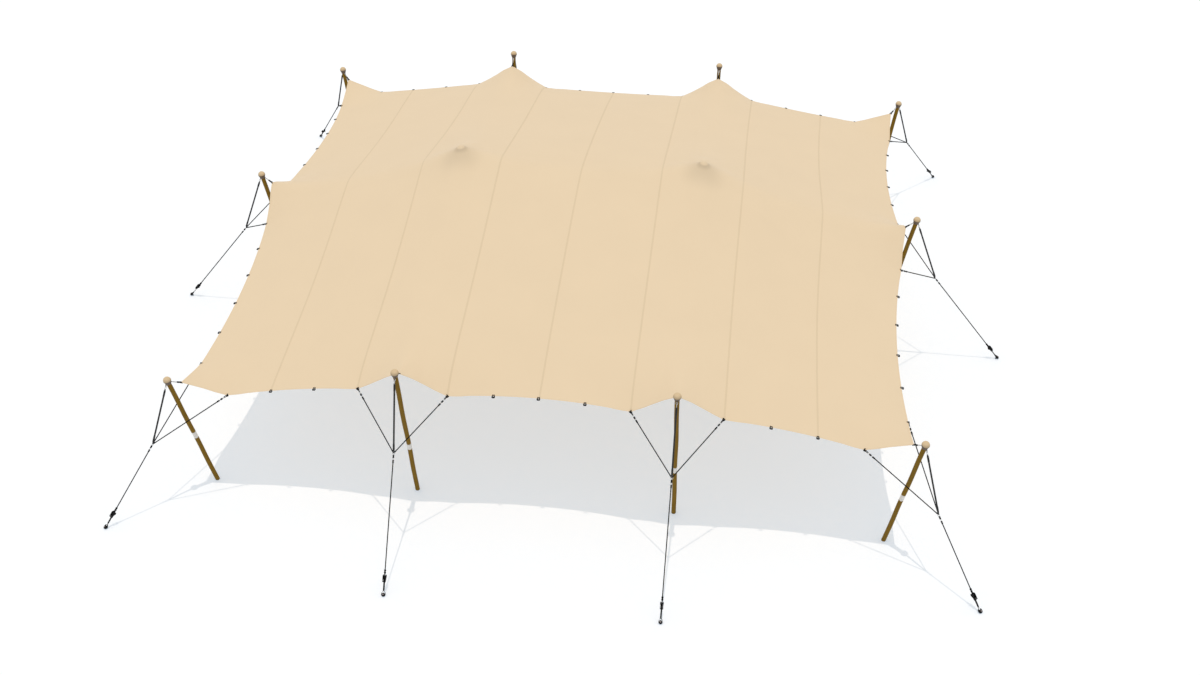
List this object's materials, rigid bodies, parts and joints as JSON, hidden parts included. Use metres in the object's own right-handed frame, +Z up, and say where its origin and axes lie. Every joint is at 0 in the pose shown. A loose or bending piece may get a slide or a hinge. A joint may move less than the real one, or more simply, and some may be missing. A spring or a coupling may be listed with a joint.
{
  "type": "stretch tent",
  "caption": "Free-form stretch tent: a tensioned canopy over two inner poles and a ring of outward-leaning poles, each guyed to a ratchet and stake.",
  "frame": {"origin": "centre of the tent on the ground", "axes": "+X along the ridge to the right as seen from the front, +Y to the back, +Z up"},
  "size_m": [16.3756, 14.8356, 4.049],
  "materials": {
    "stretch_fabric": "matt beige coated stretch knit with flat seams",
    "pole_timber": "golden brown oiled round timber with a whitish sleeve",
    "pole_head": "pale beige ball on a bare grey metal collar",
    "guy_rope": "dark webbing and braided rope with black thimbles and pale shackles",
    "ratchet_steel": "black coated pressed steel, with the worn end of a steel stake"
  },
  "bodies": {
    "tent": {"anchor_back_left": "ratchet_steel", "anchor_back_mid_left": "ratchet_steel", "anchor_back_mid_right": "ratchet_steel", "anchor_back_right": "ratchet_steel", "anchor_front_left": "ratchet_steel", "anchor_front_mid_left": "ratchet_steel", "anchor_front_mid_right": "ratchet_steel", "anchor_front_right": "ratchet_steel", "anchor_left_mid": "ratchet_steel", "anchor_right_mid": "ratchet_steel", "canopy_far_left": "stretch_fabric", "canopy_far_right": "stretch_fabric", "canopy_mid_left": "stretch_fabric", "canopy_mid_right": "stretch_fabric", "guy_back_left": "guy_rope", "guy_back_mid_left": "guy_rope", "guy_back_mid_right": "guy_rope", "guy_back_right": "guy_rope", "guy_front_left": "guy_rope", "guy_front_mid_left": "guy_rope", "guy_front_mid_right": "guy_rope", "guy_front_right": "guy_rope", "guy_left_mid": "guy_rope", "guy_right_mid": "guy_rope", "pole_back_left": "pole_timber", "pole_back_mid_left": "pole_timber", "pole_back_mid_right": "pole_timber", "pole_back_right": "pole_timber", "pole_front_left": "pole_timber", "pole_front_mid_left": "pole_timber", "pole_front_mid_right": "pole_timber", "pole_front_right": "pole_timber", "pole_head_back_left": "pole_head", "pole_head_back_mid_left": "pole_head", "pole_head_back_mid_right": "pole_head", "pole_head_back_right": "pole_head", "pole_head_front_left": "pole_head", "pole_head_front_mid_left": "pole_head", "pole_head_front_mid_right": "pole_head", "pole_head_front_right": "pole_head", "pole_head_inner_left": "pole_head", "pole_head_inner_right": "pole_head", "pole_head_left_mid": "pole_head", "pole_head_right_mid": "pole_head", "pole_inner_left": "pole_timber", "pole_inner_right": "pole_timber", "pole_left_mid": "pole_timber", "pole_right_mid": "pole_timber"},
    "handle_front_left": {"ratchet_handle_front_left": "ratchet_steel"},
    "handle_front_right": {"ratchet_handle_front_right": "ratchet_steel"},
    "handle_back_left": {"ratchet_handle_back_left": "ratchet_steel"},
    "handle_back_right": {"ratchet_handle_back_right": "ratchet_steel"},
    "handle_front_mid_left": {"ratchet_handle_front_mid_left": "ratchet_steel"},
    "handle_front_mid_right": {"ratchet_handle_front_mid_right": "ratchet_steel"},
    "handle_back_mid_left": {"ratchet_handle_back_mid_left": "ratchet_steel"},
    "handle_back_mid_right": {"ratchet_handle_back_mid_right": "ratchet_steel"},
    "handle_left_mid": {"ratchet_handle_left_mid": "ratchet_steel"},
    "handle_right_mid": {"ratchet_handle_right_mid": "ratchet_steel"}
  },
  "joints": [
    {"name": "handle_front_left_hinge", "type": "hinge", "parent": "tent", "child": "handle_front_left", "pos_m": [-7.16096, -6.39463, 0.2481], "axis": [-0.6921, 0.7218, 0], "range_deg": [0, 125]},
    {"name": "handle_front_right_hinge", "type": "hinge", "parent": "tent", "child": "handle_front_right", "pos_m": [7.16096, -6.39463, 0.2481], "axis": [-0.6921, -0.7218, 0], "range_deg": [0, 125]},
    {"name": "handle_back_left_hinge", "type": "hinge", "parent": "tent", "child": "handle_back_left", "pos_m": [-7.16096, 6.39463, 0.2481], "axis": [0.6921, 0.7218, 0], "range_deg": [0, 125]},
    {"name": "handle_back_right_hinge", "type": "hinge", "parent": "tent", "child": "handle_back_right", "pos_m": [7.16096, 6.39463, 0.2481], "axis": [0.6921, -0.7218, 0], "range_deg": [0, 125]},
    {"name": "handle_front_mid_left_hinge", "type": "hinge", "parent": "tent", "child": "handle_front_mid_left", "pos_m": [-2.25, -7.20886, 0.25788], "axis": [-1, 0, 0], "range_deg": [0, 125]},
    {"name": "handle_front_mid_right_hinge", "type": "hinge", "parent": "tent", "child": "handle_front_mid_right", "pos_m": [2.25, -7.20886, 0.25788], "axis": [-1, 0, 0], "range_deg": [0, 125]},
    {"name": "handle_back_mid_left_hinge", "type": "hinge", "parent": "tent", "child": "handle_back_mid_left", "pos_m": [-2.25, 7.20886, 0.25788], "axis": [1, 0, 0], "range_deg": [0, 125]},
    {"name": "handle_back_mid_right_hinge", "type": "hinge", "parent": "tent", "child": "handle_back_mid_right", "pos_m": [2.25, 7.20886, 0.25788], "axis": [1, 0, 0], "range_deg": [0, 125]},
    {"name": "handle_left_mid_hinge", "type": "hinge", "parent": "tent", "child": "handle_left_mid", "pos_m": [-7.97213, 0, 0.25258], "axis": [0, 1, 0], "range_deg": [0, 125]},
    {"name": "handle_right_mid_hinge", "type": "hinge", "parent": "tent", "child": "handle_right_mid", "pos_m": [7.97213, 0, 0.25258], "axis": [0, -1, 0], "range_deg": [0, 125]}
  ]
}
